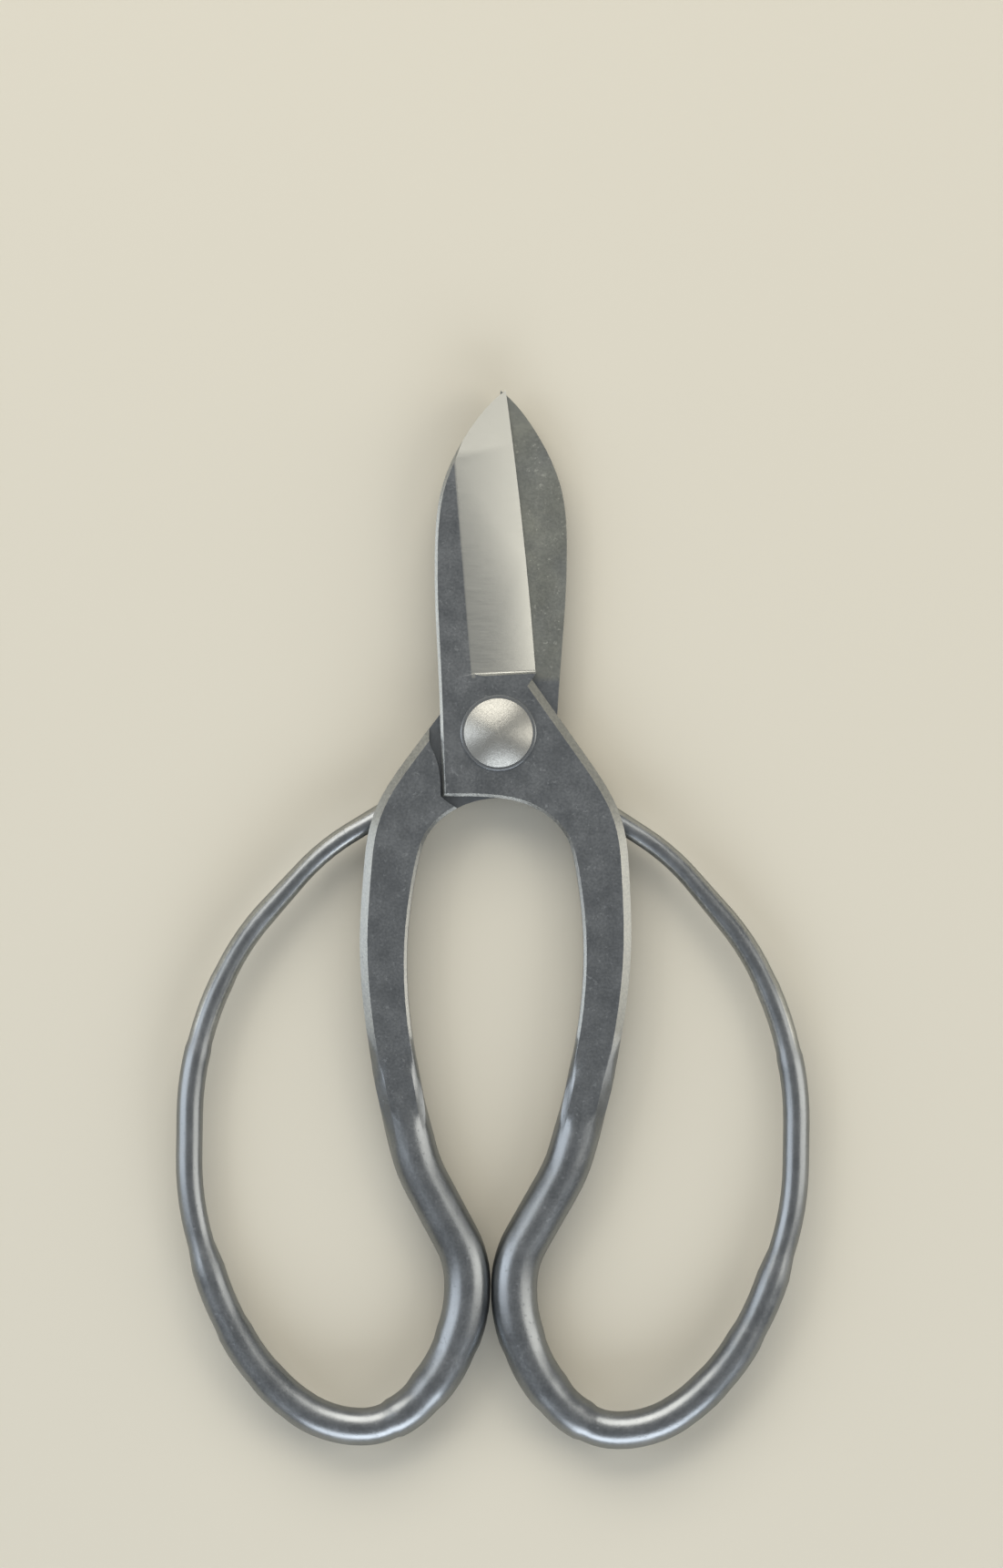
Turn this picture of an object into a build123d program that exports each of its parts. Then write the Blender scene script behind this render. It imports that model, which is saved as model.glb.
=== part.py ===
# Floral snips of the Japanese koryu pattern: two forged halves that lap at a riveted pivot.
#
# Millimetres. X is the width, Y runs from the finger loops (-) to the blade tips (+) and +Z
# points up from the table the snips lie on. The origin is on the pivot axis, at the flat of
# the rear rivet head, which rests on the table.
#
# The two halves come from one die. A half is a single forging: a blade, a pivot plate of
# half the stock's thickness, a flat shank that turns into a round rod, and a finger loop
# whose rod thins into a tail that ends against the shank. The rod is round, drawn with
# sixteen narrow flats: bends of one width, and straight runs that thin it between them.
# The rear half is the front half
# turned over about the long axis, so each carries the lap recess that the other swings in.
from build123d import *
from math import atan2, cos, degrees, hypot, radians, sin, tan
import os

# Reach of the two ends from the pivot
blade_reach = 53.5
handle_reach = 111.5

# Stock and lap joint
plate_thickness = 3.5
lap_gap = 0.04
side_clearance = 0.35
edge_round = 0.45
shoulder_round = 1.2

# Blade outline, seen from the front with the blade on the left of the midline
blade_half_width = 10.3
blade_belly = 27.0
tip_past_midline = 0.4
heel_x = 5.7
heel_y = 9.3
edge_bow = 0.35
choil_depth = 0.6
choil_height = 0.9

# Ground bevel of the blade
bevel_corner_x = -4.0
bevel_corner_y = 8.7
heel_land = 0.3
tip_land = 0.65
grind_corner = 0.7

# Pivot plate outline
waist_x = -9.4
waist_y = 8.0
plate_corner_x = -8.5
plate_corner_y = -10.0
crotch_y = -10.1
arch_points = [(5.2, -11.3), (10.0, -14.8)]
shoulder_slope = -53.9
shoulder_run = 13.9
plate_outer_corner = (19.3, -13.0)
stop_x = 10.8
stop_bottom_y = -0.9
wall_waist_x = 9.7
wall_waist_y = -4.0
recess_sweep = 50.0

# Finger loop and rod
neck_width = 7.2
closed_gap = 0.1
tail_width = 3.2
tail_gap = 0.35
tail_cut_depth = 3.5
loop_foot_width = 5.8
loop_side_x = 47.4
loop_side_width = 4.1
rod_sides = 16
bend_share = 0.9

# Rivet and washers
shaft_radius = 2.7
turning_clearance = 0.04
washer_radius = 5.9
washer_thickness = 0.5
head_radius = 5.35
head_rim = 0.35
dome_height = 1.5
tail_head_radius = 4.9
tail_head_height = 0.9
tail_flat_radius = 2.6
tail_bulge = 0.15
washer_round = 0.15

# Heights
lap_height = tail_head_height + washer_thickness + plate_thickness
lap_plane = Plane.XY.offset(lap_height)
long_axis = Axis((0, 0, lap_height), (0, 1, 0))


def beside(point, heading, distance):
    """The point at a distance to the left of a heading in degrees."""
    turn = radians(heading + 90)
    return (point[0] + distance * cos(turn), point[1] + distance * sin(turn))


def along(point, heading, distance):
    """The point at a distance along a heading in degrees."""
    return (
        point[0] + distance * cos(radians(heading)),
        point[1] + distance * sin(radians(heading)),
    )


def direction(heading):
    return (cos(radians(heading)), sin(radians(heading)))


def down(share):
    """A height on the handle, as a share of its reach."""
    return -handle_reach * share


def sides(centre, heading, width):
    """The inner and the outer point of the shank at a station."""
    return beside(centre, heading, -width / 2), beside(centre, heading, width / 2)


# Flat shank: the middle of its width, its heading and its width at three stations
root_heading = -83.0
root_inner, root_outer = sides((16.45, -20.3), root_heading, 8.3)
bow_inner, bow_outer = sides((17.45, -33.0), -91.0, 7.4)
shank_end = (15.85, down(0.4484))
shank_end_heading = -100.3
shank_end_inner, shank_end_outer = sides(shank_end, shank_end_heading, 6.9)

# The tail's end faces this stretch of the shank's outer side.
tail_seat_top = (18.2, -11.0)
tail_seat_bottom = (20.1, -17.2)
tail_seat_heading = degrees(
    atan2(tail_seat_bottom[1] - tail_seat_top[1], tail_seat_bottom[0] - tail_seat_top[0])
)

# Blank: blade, pivot plate and flat shank in one outline, at the full thickness of the stock
tip = (tip_past_midline, blade_reach)
heel = (heel_x, heel_y)
belly = (-blade_half_width, blade_belly)
plate_corner = (plate_corner_x, plate_corner_y)
blade_rise = blade_reach - blade_belly
choil = (heel_x - choil_depth, heel_y - choil_height)
shoulder_end = along(choil, shoulder_slope, shoulder_run)

with BuildPart() as blank:
    with BuildSketch(lap_plane.offset(-plate_thickness)):
        with BuildLine():
            Spline(
                tip,
                (-0.45 * blade_half_width, blade_belly + 0.79 * blade_rise),
                (-0.85 * blade_half_width, blade_belly + 0.49 * blade_rise),
                belly,
                tangents=[(-1.0, -0.75), (0, -1)],
            )
            Spline(belly, (waist_x, waist_y), plate_corner, tangents=[(0, -1), (0.06, -1)])
            Spline(
                plate_corner,
                (0, crotch_y),
                *arch_points,
                root_inner,
                tangents=[(1, 0.02), direction(root_heading + 4)],
            )
            Spline(
                root_inner,
                bow_inner,
                shank_end_inner,
                tangents=[direction(root_heading + 4), direction(shank_end_heading)],
            )
            Line(shank_end_inner, shank_end_outer)
            Spline(
                shank_end_outer,
                bow_outer,
                root_outer,
                tangents=[direction(shank_end_heading + 180), direction(root_heading + 177)],
            )
            Spline(
                root_outer,
                plate_outer_corner,
                shoulder_end,
                tangents=[direction(root_heading + 177), direction(shoulder_slope + 180)],
            )
            Line(shoulder_end, choil)
            Line(choil, heel)
            Spline(
                heel,
                ((heel_x + tip[0]) / 2 + edge_bow, (heel_y + blade_reach) / 2),
                tip,
            )
        make_face()
    extrude(amount=2 * plate_thickness)

    front_face = blank.faces().sort_by(Axis.Z)[-1]
    back_face = blank.faces().sort_by(Axis.Z)[0]
    shoulder_edges = []
    eased_edges = []
    for face in (front_face, back_face):
        for edge in face.edges().sort_by(Axis.Y)[1:]:
            middle = edge.position_at(0.5)
            if middle.X > 18 or (middle.X > 8.5 and middle.Y > -5):
                shoulder_edges.append(edge)
            elif middle.X < -7 or middle.Y < 0:
                eased_edges.append(edge)
    chamfer(shoulder_edges, shoulder_round)
    chamfer(eased_edges, edge_round)


def cross_plane(centre, heading):
    """The plane square to the rod at a point of its centreline, with local x towards the loop."""
    return Plane(
        origin=(*centre, lap_height),
        x_dir=(*direction(heading + 90), 0),
        z_dir=(*direction(heading), 0),
    )


# Bends of the rod: (corner of the centreline, width of the rod round that bend)
neck_x = (closed_gap + neck_width) / 2
foot_y = loop_foot_width / 2 - handle_reach
rod_start = (13.2, down(0.556))
rod_end = (17.6, -12.6)
rod_bends = [
    ((11.6, down(0.609)), neck_width),
    ((neck_x, down(0.738)), neck_width),
    ((neck_x, down(0.813)), neck_width),
    ((6.9, down(0.892)), 6.8),
    ((12.3, down(0.950)), 6.3),
    ((17.6, foot_y), loop_foot_width),
    ((22.6, foot_y), loop_foot_width),
    ((27.6, down(0.960)), loop_foot_width),
    ((32.6, down(0.928)), 5.7),
    ((38.0, down(0.874)), 5.5),
    ((42.8, down(0.794)), 5.1),
    ((loop_side_x, down(0.662)), loop_side_width),
    ((loop_side_x, down(0.494)), loop_side_width),
    ((44.8, down(0.394)), 3.8),
    ((39.6, down(0.294)), 3.6),
    ((27.2, down(0.167)), tail_width),
]
corners = [rod_start, *[corner for corner, width in rod_bends], rod_end]
rod_widths = [neck_width, *[width for corner, width in rod_bends], tail_width]


def bend_radius(before, corner, after):
    """The radius of a bend that takes bend_share of half of its shorter leg."""
    leg_in = Vector(*corner) - Vector(*before)
    leg_out = Vector(*after) - Vector(*corner)
    turn = radians(leg_in.get_angle(leg_out))
    return bend_share * min(leg_in.length, leg_out.length) / 2 / tan(turn / 2)


bend_radii = [bend_radius(*corners[i : i + 3]) for i in range(len(rod_bends))]
with BuildLine(lap_plane) as rod_line:
    FilletPolyline(*corners, radius=bend_radii)
rod_edges = rod_line.wire().order_edges()


def rod_section(edge, end, width):
    """The rod's cross-section at one end of a piece of its centreline."""
    tangent = edge % end
    across = (-tangent.Y, tangent.X, 0)
    with BuildSketch(Plane(origin=edge @ end, x_dir=across, z_dir=tangent)) as section:
        RegularPolygon(width / 2, rod_sides, major_radius=False, rotation=180 / rod_sides)
    return section.sketch


# Halfway from the flat shank to the round rod the corners are cut back this far.
drawn_width = 7.0
drawn_far_cut = 1.1
drawn_loop_cut = 1.6
with BuildSketch(cross_plane((14.6, down(0.505)), -103.0)) as drawn_section:
    Rectangle(drawn_width, 2 * plate_thickness)
    chamfer(drawn_section.vertices().group_by(Axis.X)[0], drawn_far_cut)
    chamfer(drawn_section.vertices().group_by(Axis.X)[-1], drawn_loop_cut)

with BuildPart() as rod:
    shank_face = blank.faces().sort_by_distance((*shank_end, lap_height))[0]
    loft([shank_face, drawn_section.sketch, rod_section(rod_edges[0], 0, neck_width)])

    # Straight runs and bends take turns, from the shank round to the tail.
    for number, edge in enumerate(rod_edges):
        width = rod_widths[(number + 1) // 2]
        if number % 2:
            sweep(rod_section(edge, 0, width), path=edge)
        else:
            next_width = rod_widths[number // 2 + 1]
            loft([rod_section(edge, 0, width), rod_section(edge, 1, next_width)], ruled=True)

    # The tail is cut off parallel to the shank's side, a hair clear of it.
    with BuildSketch(lap_plane):
        with BuildLine():
            cut_top = beside(tail_seat_top, tail_seat_heading, tail_gap)
            cut_bottom = beside(tail_seat_bottom, tail_seat_heading, tail_gap)
            Polyline(
                cut_top,
                cut_bottom,
                beside(cut_bottom, tail_seat_heading, -tail_cut_depth),
                beside(cut_top, tail_seat_heading, -tail_cut_depth),
                close=True,
            )
        make_face()
    extrude(amount=plate_thickness, both=True, mode=Mode.SUBTRACT)

# Front half: the forging, then the lap recess, the ground bevel and the rivet hole
wall_corner = (-plate_corner_x + side_clearance, plate_corner_y)
recess_radius = hypot(*wall_corner)
recess_reach = 2 * blade_reach
edge_level = lap_height + heel_land
bevel_heel = Vector(*heel, edge_level)
bevel_tip = Vector(*tip, lap_height + tip_land)
bevel_corner = Vector(bevel_corner_x, bevel_corner_y, lap_height + plate_thickness)
across_bevel = bevel_heel - bevel_corner
bevel_normal = (bevel_tip - bevel_heel).cross(bevel_corner - bevel_heel)
bevel_plane = Plane(
    origin=bevel_heel, x_dir=bevel_normal.cross(across_bevel), z_dir=across_bevel
)

with BuildPart() as front_half:
    add(blank.part)
    add(rod.part)

    # Lap recess: the other half's plate lies and swings here.
    with BuildSketch(lap_plane.offset(lap_gap / 2)):
        with BuildLine():
            Spline(
                (stop_x, stop_bottom_y),
                (wall_waist_x, wall_waist_y),
                wall_corner,
                tangents=[(-0.1, -1), (-0.02, -1)],
            )
            arc = CenterArc(
                (0, 0),
                recess_radius,
                degrees(atan2(wall_corner[1], wall_corner[0])),
                -recess_sweep,
            )
            Polyline(
                arc @ 1,
                (-recess_reach, (arc @ 1).Y),
                (-recess_reach, recess_reach),
                (stop_x, recess_reach),
                (stop_x, stop_bottom_y),
            )
        make_face()
    extrude(amount=-2 * plate_thickness, mode=Mode.SUBTRACT)

    # Ground bevel: a wheel runs in from the tip and leaves a rounded step at the heel.
    with BuildSketch(bevel_plane) as wheel:
        Rectangle(recess_reach, 3 * plate_thickness, align=(Align.MIN, Align.MIN))
        fillet(wheel.vertices().sort_by_distance((0, 0))[0], grind_corner)
    extrude(amount=recess_reach, both=True, mode=Mode.SUBTRACT)

    # Rivet hole
    with Locations((0, 0, lap_height)):
        Hole(shaft_radius + turning_clearance)

with BuildPart() as rear_half:
    add(front_half.part.rotate(long_axis, 180))


# Rivet and washers
front_washer_level = lap_height + plate_thickness + lap_gap / 2
head_level = front_washer_level + washer_thickness

with BuildPart() as front_washer:
    with BuildSketch(Plane.XY.offset(front_washer_level)):
        Circle(washer_radius)
        Circle(shaft_radius + turning_clearance, mode=Mode.SUBTRACT)
    extrude(amount=washer_thickness)
    chamfer(front_washer.edges().group_by(Axis.Z)[-1].sort_by(SortBy.LENGTH)[-1], washer_round)

with BuildPart() as rear_washer:
    with BuildSketch(Plane.XY.offset(tail_head_height)):
        Circle(washer_radius)
        Circle(shaft_radius + turning_clearance, mode=Mode.SUBTRACT)
    extrude(amount=washer_thickness)
    chamfer(rear_washer.edges().group_by(Axis.Z)[0].sort_by(SortBy.LENGTH)[-1], washer_round)

with BuildPart() as pivot_rivet:
    with BuildSketch(Plane.XZ):
        with BuildLine():
            Polyline(
                (0, head_level + head_rim + dome_height),
                (0, 0),
                (tail_flat_radius, 0),
            )
            ThreePointArc(
                (tail_flat_radius, 0),
                (
                    (tail_flat_radius + tail_head_radius) / 2 + tail_bulge,
                    tail_head_height / 2 - tail_bulge,
                ),
                (tail_head_radius, tail_head_height),
            )
            Polyline(
                (tail_head_radius, tail_head_height),
                (shaft_radius, tail_head_height),
                (shaft_radius, head_level),
                (head_radius, head_level),
                (head_radius, head_level + head_rim),
            )
            dome_radius = (head_radius**2 + dome_height**2) / (2 * dome_height)
            RadiusArc(
                (head_radius, head_level + head_rim),
                (0, head_level + head_rim + dome_height),
                -dome_radius,
            )
        make_face()
    revolve(axis=Axis.Z)

os.makedirs("parts", exist_ok=True)
for name, piece in (
    ("front_half", front_half.part),
    ("rear_half", rear_half.part),
    ("pivot_rivet", pivot_rivet.part),
    ("front_washer", front_washer.part),
    ("rear_washer", rear_washer.part),
):
    piece.label = name
    export_step(piece, f"parts/{name}.step")
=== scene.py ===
# %% [markdown]
# Floral snips, dressed for their portrait. The steel was forged, ground and drilled
# elsewhere, and this lesson gives it its finish. It starts by loading the finished pieces
# as a fixed frame, because a finish only means something on metal of the right size.

# %% Load the frame
import math
import bpy
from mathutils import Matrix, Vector


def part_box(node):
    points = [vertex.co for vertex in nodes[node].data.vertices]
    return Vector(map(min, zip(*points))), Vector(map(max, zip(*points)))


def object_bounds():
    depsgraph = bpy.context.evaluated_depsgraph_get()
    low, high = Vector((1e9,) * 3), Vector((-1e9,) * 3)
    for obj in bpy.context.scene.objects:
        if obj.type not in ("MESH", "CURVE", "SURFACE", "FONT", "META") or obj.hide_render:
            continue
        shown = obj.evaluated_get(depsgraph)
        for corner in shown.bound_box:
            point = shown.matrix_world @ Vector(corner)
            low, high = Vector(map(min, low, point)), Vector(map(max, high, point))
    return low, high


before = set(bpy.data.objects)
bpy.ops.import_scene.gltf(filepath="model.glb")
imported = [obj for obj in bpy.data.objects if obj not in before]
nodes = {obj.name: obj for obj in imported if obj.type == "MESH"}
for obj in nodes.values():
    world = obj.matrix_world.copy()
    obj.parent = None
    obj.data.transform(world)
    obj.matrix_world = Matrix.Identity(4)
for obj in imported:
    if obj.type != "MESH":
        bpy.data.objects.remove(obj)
CAD_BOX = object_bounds()
scene = bpy.context.scene
MM = 0.001
print("pieces:", sorted(nodes), "size in mm:", [round(v / MM, 1) for v in CAD_BOX[1] - CAD_BOX[0]])

# %% [markdown]
# A finish needs one landmark: the lap, the level at which the two halves meet. It could be
# typed in, but it is read from the halves' own boxes, so it follows them. It lies midway
# between them, because the rear half is the front one turned over about that level.

# %% The lap's height
front_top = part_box("front_half")[1].z
rear_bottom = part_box("rear_half")[0].z
LAP = (rear_bottom + front_top) / 2
print("lap height", round(LAP / MM, 2), "mm")

# %% [markdown]
# The pieces arrive cut apart along the borders of their faces. Splitting every sharp edge
# would keep the creases, but it cuts the mesh further, so the borders are welded and the
# surface is shaded smooth below a limit of angle. The rod then looks round, and the real
# creases, at the bevel and round the plate, stay crisp. Normals are weighted by corner angle
# and not by area: long facets beside short ones would otherwise make the rod look lumpy.

# %% Smooth shading for every piece
CREASE = math.radians(29)
WELD_REACH = 0.002 * MM


def shade(piece):
    """Welds a piece's face borders and shades it smooth below the crease angle."""
    weld = piece.modifiers.new("weld", "WELD")
    weld.merge_threshold = WELD_REACH
    tree = bpy.data.node_groups.get("smooth below") or smooth_below()
    smooth = piece.modifiers.new("smooth below", "NODES")
    smooth.node_group = tree
    smooth[angle_socket(tree)] = CREASE
    weighted = piece.modifiers.new("weighted", "WEIGHTED_NORMAL")
    weighted.mode = "CORNER_ANGLE"
    weighted.keep_sharp = True


def smooth_below():
    """A node group that marks edges sharper than an angle as creases."""
    tree = bpy.data.node_groups.new("smooth below", "GeometryNodeTree")
    tree.interface.new_socket("Geometry", in_out="INPUT", socket_type="NodeSocketGeometry")
    tree.interface.new_socket("Angle", in_out="INPUT", socket_type="NodeSocketFloat")
    tree.interface.new_socket("Geometry", in_out="OUTPUT", socket_type="NodeSocketGeometry")
    start = tree.nodes.new("NodeGroupInput")
    angle = tree.nodes.new("GeometryNodeInputMeshEdgeAngle")
    compare = tree.nodes.new("FunctionNodeCompare")
    compare.operation = "GREATER_THAN"
    mark = tree.nodes.new("GeometryNodeSetShadeSmooth")
    mark.domain = "EDGE"
    smooth = tree.nodes.new("GeometryNodeSetShadeSmooth")
    end = tree.nodes.new("NodeGroupOutput")
    tree.links.new(start.outputs["Geometry"], smooth.inputs["Geometry"])
    tree.links.new(smooth.outputs["Geometry"], mark.inputs["Geometry"])
    tree.links.new(angle.outputs["Unsigned Angle"], compare.inputs["A"])
    tree.links.new(start.outputs["Angle"], compare.inputs["B"])
    tree.links.new(compare.outputs["Result"], mark.inputs["Selection"])
    mark.inputs["Shade Smooth"].default_value = False
    tree.links.new(mark.outputs["Geometry"], end.inputs["Geometry"])
    return tree


def angle_socket(tree):
    """The name by which a modifier knows the group's angle."""
    return next(s.identifier for s in tree.interface.items_tree if s.name == "Angle")


for piece in nodes.values():
    shade(piece)
print("smoothed", len(nodes), "pieces below", round(math.degrees(CREASE)), "degrees")

# %% [markdown]
# A finish is a sum of simple masks: how far up, how far from the axis, how speckled. Each
# could be wired by hand, node by node, but the small class below wraps a socket, so that
# such sums are written as plain arithmetic.

# %% Arithmetic on sockets


class Value:
    """A socket in a shader, on which Python's operators add Math nodes."""

    def __init__(self, finish, socket):
        self.finish = finish
        self.socket = socket

    def math(self, operation, *others):
        """The result of a Math node on this value and any others."""
        sockets = dict(enumerate((self, *others)))
        return self.finish.node("ShaderNodeMath", {"operation": operation}, sockets)

    def __add__(self, other):
        return self.math("ADD", other)

    def __sub__(self, other):
        return self.math("SUBTRACT", other)

    def __mul__(self, other):
        return self.math("MULTIPLY", other)

    def __truediv__(self, other):
        return self.math("DIVIDE", other)

    def __radd__(self, other):
        return self + other

    def __rmul__(self, other):
        return self * other

    def __rsub__(self, other):
        return self.math("MULTIPLY", -1) + other

    def step(self, low, high):
        """0 below low, 1 above high and a straight rise between them."""
        return ((self - low) / (high - low)).math("MAXIMUM", 0).math("MINIMUM", 1)


print("sockets now add, subtract, multiply and divide")

# %% [markdown]
# A Math node turns a colour grey, so colours are mixed with a Mix node and vectors are
# scaled with a Vector Math node. All nodes come from one method, which applies the settings
# first, because a setting can change which sockets a node has.

# %% A material whose nodes are added by name


class Finish:
    """A material and the nodes that a steel finish needs."""

    def __init__(self, name):
        self.material = bpy.data.materials.new(name)
        self.material.use_nodes = True
        self.tree = self.material.node_tree
        self.shader = self.tree.nodes["Principled BSDF"]

    def feed(self, socket, value):
        """Links a value to a socket, or sets a constant on it."""
        if isinstance(value, Value):
            self.tree.links.new(value.socket, socket)
        else:
            socket.default_value = value

    def node(self, kind, settings=None, sockets=None, out=0):
        """Adds any node: its settings first, then its sockets by name or number."""
        node = self.tree.nodes.new(kind)
        for key, value in (settings or {}).items():
            setattr(node, key, value)
        for key, value in (sockets or {}).items():
            self.feed(node.inputs[key], value)
        return Value(self, node.outputs[out])

    def mix(self, factor, first, second):
        """A colour between two, by a factor."""
        first, second = ((*c, 1) if isinstance(c, tuple) else c for c in (first, second))
        sockets = {"Factor": factor, "A": first, "B": second}
        return self.node("ShaderNodeMix", {"data_type": "RGBA"}, sockets, out="Result")

    def position(self):
        """Where a point lies on its piece, in metres."""
        return self.node("ShaderNodeTexCoord", out="Object")

    def split(self, vector):
        """The x, y and z of a vector."""
        first = self.node("ShaderNodeSeparateXYZ", sockets={0: vector})
        return [Value(self, socket) for socket in first.socket.node.outputs]

    def stretched(self, vector, scale):
        """The vector scaled by its axes, so that a pattern on it is drawn out."""
        return self.node("ShaderNodeVectorMath", {"operation": "MULTIPLY"}, {0: vector, 1: scale})

    def noise(self, vector, scale, detail):
        """Soft noise, in lumps of about 1 / scale metres."""
        sockets = {"Vector": vector, "Scale": scale, "Detail": detail}
        return self.node("ShaderNodeTexNoise", sockets=sockets)

    def bump(self, height, depth):
        """A surface raised by a height of 0 to 1 over a depth in metres."""
        return self.node("ShaderNodeBump", sockets={"Height": height, "Distance": depth, "Strength": 1.0})

    def set(self, **sockets):
        """Feeds the shader's own sockets and returns the finished material."""
        for key, value in sockets.items():
            self.feed(self.shader.inputs[key.replace("_", " ")], value)
        return self.material


print("a finish is ready to be wired")

# %% [markdown]
# Each half is a single forging, so its ground bevel has no piece of its own. Its faces could
# be given a second material by hand, but the mesh is fixed, so the bevel is found by its
# plane instead: whatever lies within a hair of that plane is freshly ground.

# %% The bevel's plane on the front half, from the two ends of the edge and the grind's corner
# Heights here are measured from the lap.
EDGE_HEEL = Vector((5.7, 9.3, 0.3)) * MM
EDGE_TIP = Vector((0.4, 53.5, 0.65)) * MM
GRIND_CORNER = Vector((-4.0, 8.7, 3.5)) * MM
bevel_normal = (EDGE_TIP - EDGE_HEEL).cross(GRIND_CORNER - EDGE_HEEL).normalized()
bevel_level = bevel_normal.dot(EDGE_HEEL)
print("the bevel leans", round(math.degrees(bevel_normal.angle(Vector((0, 0, 1)))), 1), "degrees")

# %% Where the bevel, its run-out, the inner face and the edges lie; highlights are painted on the run-out and, with some wear, on the edges
# Each pair is the two ends of a mask's soft border.
GRIND_REACH = (0.06 * MM, 0.12 * MM)
HEEL = (8.4 * MM, 8.6 * MM)
RUN_OUT_ALONG = (8.9 * MM, 9.6 * MM)
RUN_OUT_ACROSS = (-1.5 * MM, 1.5 * MM)
LAP_REACH = (0.04 * MM, 0.08 * MM)
BLADE_START = (8.0 * MM, 9.0 * MM)
FLAT_SHANK_END = (-50 * MM, -46 * MM)
STEEP_FACE, LEVEL_FACE = (0.3, 0.5), (0.84, 0.90)


def on_bevel(right, y, above_lap):
    """1 on the ground bevel: near its plane, and past the heel where it stops."""
    level = right * bevel_normal.x + y * bevel_normal.y + above_lap * bevel_normal.z
    off_plane = (level - bevel_level).math("ABSOLUTE")
    return (1 - off_plane.step(*GRIND_REACH)) * y.step(*HEEL)


def on_run_out_highlight(bevel, right, y):
    """1 in the hollow that the wheel leaves where the grind ends: a highlight is painted there."""
    return bevel * (1 - y.step(*RUN_OUT_ALONG)) * right.step(*RUN_OUT_ACROSS)


def on_inner_face(y, above_lap):
    """1 on the blade's flat face, which slides on the other blade."""
    return (1 - above_lap.math("ABSOLUTE").step(*LAP_REACH)) * y.step(*BLADE_START)


def on_edge_wear_and_highlight(steel, y):
    """1 on the edges of the flat steel, whose faces lean about halfway over: they are painted lighter, a
    painted highlight with some wear.
    """
    normal = steel.node("ShaderNodeNewGeometry", out="True Normal")
    upright = steel.split(normal)[2].math("ABSOLUTE")
    return (1 - upright.step(*LEVEL_FACE)) * upright.step(*STEEP_FACE) * y.step(*FLAT_SHANK_END)


print("masks: bevel, run-out, inner face, edges")

# %% [markdown]
# The halves are forged stainless steel, tumbled and burnished rather than polished: grey,
# a little blue, with a satin sheen, fine pits and faint drag marks. A plain metal shader
# would do from afar, but even wear looks painted, so the roughness is broken up by noise of
# three sizes. The pits are also a bump, since a pit is seen by the light on its rim.

# %% Steel colours, in linear light
FORGED_DARK = (0.215, 0.227, 0.235)
FORGED_LIGHT = (0.280, 0.292, 0.300)
# Ground steel on the bevel; the same colour paints a highlight, with some wear, on the edges.
BARE_STEEL_AND_EDGE_HIGHLIGHT = (0.50, 0.50, 0.46)
# A painted highlight for the run-out's hollow, far lighter than the bevel.
RUN_OUT_HIGHLIGHT = (0.78, 0.78, 0.73)
INNER_FLAT = (0.360, 0.365, 0.310)
RIVET = (0.40, 0.395, 0.365)
print("the forged steel runs from", FORGED_DARK, "to", FORGED_LIGHT)

# %% Forged steel, with a ground bevel and a flat inner face
# Patterns, in lumps to the metre along each axis.
CLOUD, FINE, PIT, STAIN = 260, 2600, 1500, 120
DRAG = (900, 90, 900)
GRIND = (300, 5200, 300)
SATIN = 0.29
FORGED_DEPTH = 0.006 * MM


def forged_steel(name, turned_over):
    """The finish of a half. turned_over is -1 for the rear half, which lies the other way up."""
    steel = Finish(name)
    place = steel.position()
    x, y, z = steel.split(place)
    right = x * turned_over
    above_lap = (z - LAP) * turned_over
    bevel = on_bevel(right, y, above_lap)

    cloud = steel.noise(place, CLOUD, detail=4).step(0.35, 0.65)
    drag = steel.noise(steel.stretched(place, DRAG), 1.0, detail=4).step(0.3, 0.7)
    fine = steel.noise(place, FINE, detail=5).step(0.35, 0.65)
    pits = steel.noise(place, PIT, detail=2).step(0.64, 0.72)
    lines = steel.noise(steel.stretched(place, GRIND), 1.0, detail=3).step(0.3, 0.7)
    stain = steel.noise(place, STAIN, detail=5).step(0.3, 0.7)

    colour = steel.mix(cloud * 0.35 + drag * 0.35 + fine * 0.3, FORGED_DARK, FORGED_LIGHT)
    colour = steel.mix(pits * 0.55, colour, FORGED_DARK)
    colour = steel.mix(bevel, colour, BARE_STEEL_AND_EDGE_HIGHLIGHT)
    # A highlight is painted in the run-out's hollow, where the grind ends.
    colour = steel.mix(on_run_out_highlight(bevel, right, y) * 0.8, colour, RUN_OUT_HIGHLIGHT)
    # The chamfered edges of the flat shank are painted lighter: a painted highlight, with some rubbed
    # wear.
    colour = steel.mix(on_edge_wear_and_highlight(steel, y) * (0.45 + fine * 0.3), colour, BARE_STEEL_AND_EDGE_HIGHLIGHT)
    flat = steel.mix(stain * 0.5, INNER_FLAT, FORGED_LIGHT)
    colour = steel.mix(on_inner_face(y, above_lap), colour, flat)

    # Grinding takes the forged pits and marks away, so the bevel keeps none of them.
    unground = 1 - bevel
    rough = SATIN + (cloud * 0.06 + fine * 0.06 + pits * 0.12) * unground + lines * bevel * 0.06
    height = (fine * 0.35 + drag * 0.35 - pits * 0.8) * unground + lines * bevel * 0.3
    normal = steel.bump(height, FORGED_DEPTH)
    return steel.set(Base_Color=colour, Metallic=1.0, Roughness=rough, Normal=normal)


print("forged steel: lumps of", [round(1 / n / MM, 1) for n in (CLOUD, FINE, PIT, STAIN)], "mm")


# %% [markdown]
# The rivet was turned on a lathe, so its marks are rings about its own axis. Anisotropic
# shading could stretch its highlights, but it needs a direction that the plain mesh does not
# carry, so the rings are a real pattern: a sine wave of the distance from the axis. The same
# finish, darker and with wider rings, serves the washers.


# %% Turned steel for the rivet and the washers
WOBBLE, SPECK = 700, 3000


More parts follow.
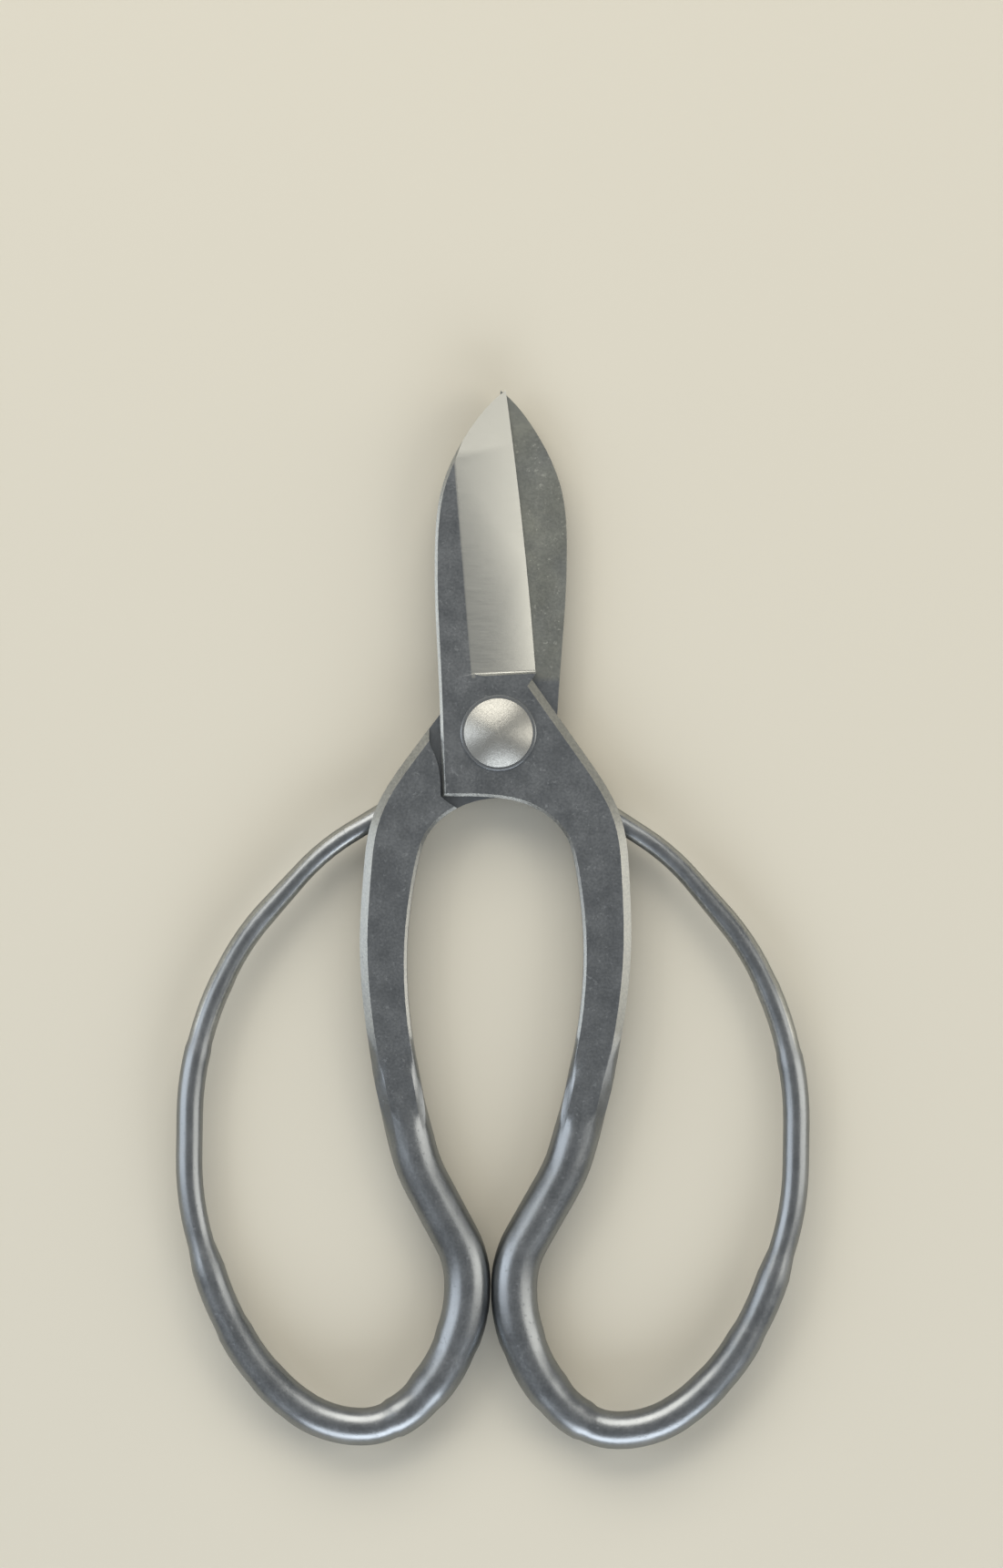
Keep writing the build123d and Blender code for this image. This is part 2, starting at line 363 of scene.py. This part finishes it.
def turned_steel(name, colour, ring_width, depth, roughness):
    """Steel with rings about the pivot's axis, ring_width metres apart."""
    steel = Finish(name)
    place = steel.position()
    x, y, _ = steel.split(place)
    radius = (x * x + y * y).math("SQRT")
    wobble = steel.noise(place, WOBBLE, detail=3)
    rings = (radius * (2 * math.pi / ring_width) + wobble * 3).math("SINE") * 0.5 + 0.5
    speck = steel.noise(place, SPECK, detail=4).step(0.35, 0.65)
    darker = tuple(0.8 * c for c in colour)
    return steel.set(
        Base_Color=steel.mix(rings * 0.3 + speck * 0.25, colour, darker),
        Metallic=1.0,
        Roughness=roughness + rings * 0.05 + speck * 0.05,
        Normal=steel.bump(rings * 0.5 + speck * 0.3, depth),
    )


print("turned steel is ready")


# %% Every piece gets its steel
def dress(piece, material):
    """Puts one material on a piece, in place of what it came with."""
    piece.data.materials.clear()
    piece.data.materials.append(material)


dress(nodes["front_half"], forged_steel("forged_front", 1))
dress(nodes["rear_half"], forged_steel("forged_rear", -1))
dress(
    nodes["pivot_rivet"],
    turned_steel("turned_rivet", RIVET, ring_width=0.16 * MM, depth=0.020 * MM, roughness=0.36),
)
for washer in ("front_washer", "rear_washer"):
    dress(
        nodes[washer],
        turned_steel(
            f"satin_{washer}", FORGED_LIGHT, ring_width=0.3 * MM, depth=0.003 * MM, roughness=0.34
        ),
    )
print("dressed:", [(n, o.data.materials[0].name) for n, o in nodes.items()])

# %% [markdown]
# Burnished steel is nearly all reflection, so the room makes its colour. A small bright lamp
# would give hard white points, so a plain pale floor lies under the snips and large soft
# lamps stand round them. They draw the bands of light along the rods, and the dim space
# overhead draws the dark between.

# %% Floor
FLOOR_SIZE = 3.0
FLOOR_GAP = 0.05 * MM
PALE = (0.54, 0.51, 0.43, 1)
bpy.ops.mesh.primitive_plane_add(size=FLOOR_SIZE, location=(0, 0, CAD_BOX[0].z - FLOOR_GAP))
floor = bpy.context.object
floor.name = "floor"
floor.data.materials.append(Finish("pale_floor").set(Base_Color=PALE, Roughness=0.9))
print("floor", FLOOR_SIZE, "m wide")

# %% Lamps
HANDLES = Vector((0, -0.03, 0))
WARM, COOL = (1.0, 0.96, 0.88), (0.86, 0.92, 1.0)


def lamp(name, place, size, power, colour):
    """A soft rectangular lamp at place, turned towards the handles."""
    light = bpy.data.lights.new(name, "AREA")
    light.shape = "RECTANGLE"
    light.size, light.size_y = size
    light.energy = power
    light.color = colour
    body = bpy.data.objects.new(name, light)
    scene.collection.objects.link(body)
    body.location = place
    body.rotation_euler = (HANDLES - Vector(place)).to_track_quat("-Z", "Y").to_euler()


lamp("window_above", place=(-0.15, 0.75, 0.70), size=(1.3, 0.7), power=11, colour=WARM)
lamp("long_left", place=(-0.85, 0.0, 0.45), size=(0.45, 1.0), power=3.5, colour=COOL)
lamp("long_right", place=(0.85, 0.0, 0.45), size=(0.45, 1.0), power=3.5, colour=WARM)
lamp("low_front", place=(0.1, -0.85, 0.40), size=(1.0, 0.4), power=6, colour=COOL)

# %% The dim space overhead
ROOM_COLOUR = (0.66, 0.68, 0.70, 1)
ROOM_STRENGTH = 0.42
world = bpy.data.worlds.new("room")
scene.world = world
world.use_nodes = True
room = world.node_tree.nodes["Background"]
room.inputs["Color"].default_value = ROOM_COLOUR
room.inputs["Strength"].default_value = ROOM_STRENGTH
print("room light", ROOM_STRENGTH)

# %% [markdown]
# A short lens close by would show the rods' inner sides, so the camera looks straight down
# from about an arm's length through a long one, and the snips lie flat in the picture. It
# is rolled by less than a degree, as they lie.

# %% Camera
VIEW_CENTRE = Vector((0.59, -7.95, 0)) * MM
VIEW_HEIGHT = 244.9 * MM
DISTANCE = 0.9
ROLL = math.radians(0.8)
FILM_HEIGHT = 36
camera_data = bpy.data.cameras.new("camera")
camera = bpy.data.objects.new("camera", camera_data)
scene.collection.objects.link(camera)
camera.location = (VIEW_CENTRE.x, VIEW_CENTRE.y, LAP + DISTANCE)
camera.rotation_euler = (0, 0, ROLL)
camera_data.sensor_fit = "VERTICAL"
camera_data.sensor_height = FILM_HEIGHT
camera_data.lens = FILM_HEIGHT * DISTANCE / VIEW_HEIGHT
camera_data.clip_start = 0.01
scene.camera = camera
scene.view_settings.view_transform = "Standard"
print("lens", round(camera_data.lens), "mm")
